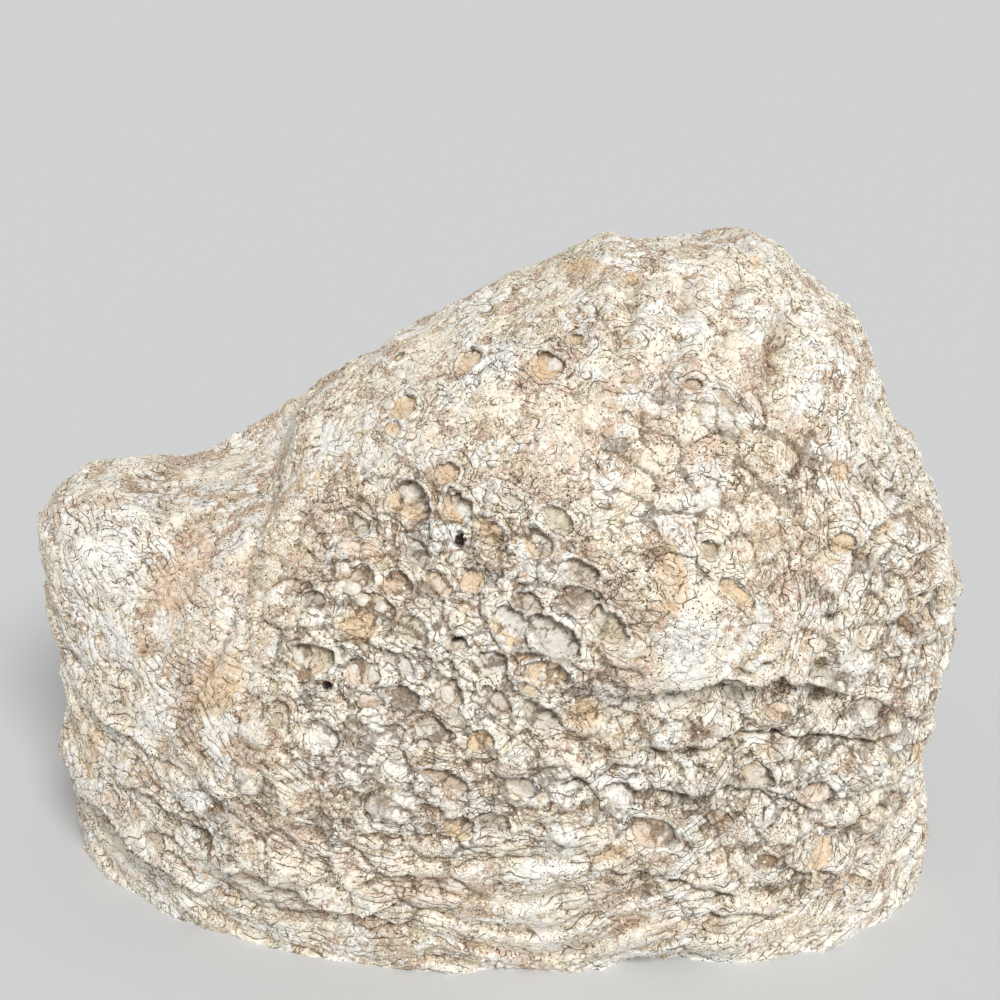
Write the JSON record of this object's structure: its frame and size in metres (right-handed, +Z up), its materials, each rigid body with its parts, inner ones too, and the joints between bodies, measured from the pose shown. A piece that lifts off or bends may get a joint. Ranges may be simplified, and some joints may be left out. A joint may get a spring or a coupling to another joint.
{
  "type": "fossil coral head",
  "caption": "Loose block of fossil coral limestone with cup-shaped pits and stacked, scalloped growth ledges, to stand on its flat base as a display specimen.",
  "frame": {"origin": "middle of the block's bounding box in plan, on its flat base", "axes": "+Z up, +X along the block's longest side towards its high end, and the face with the coral cups looks along -Y"},
  "size_m": [0.1726, 0.0983, 0.1233],
  "materials": {
    "limestone": "dry, rough and chalky pale cream limestone, with tan, peach and ochre staining and dark pores"
  },
  "bodies": {
    "root": {"coral_head": "limestone"}
  },
  "joints": []
}
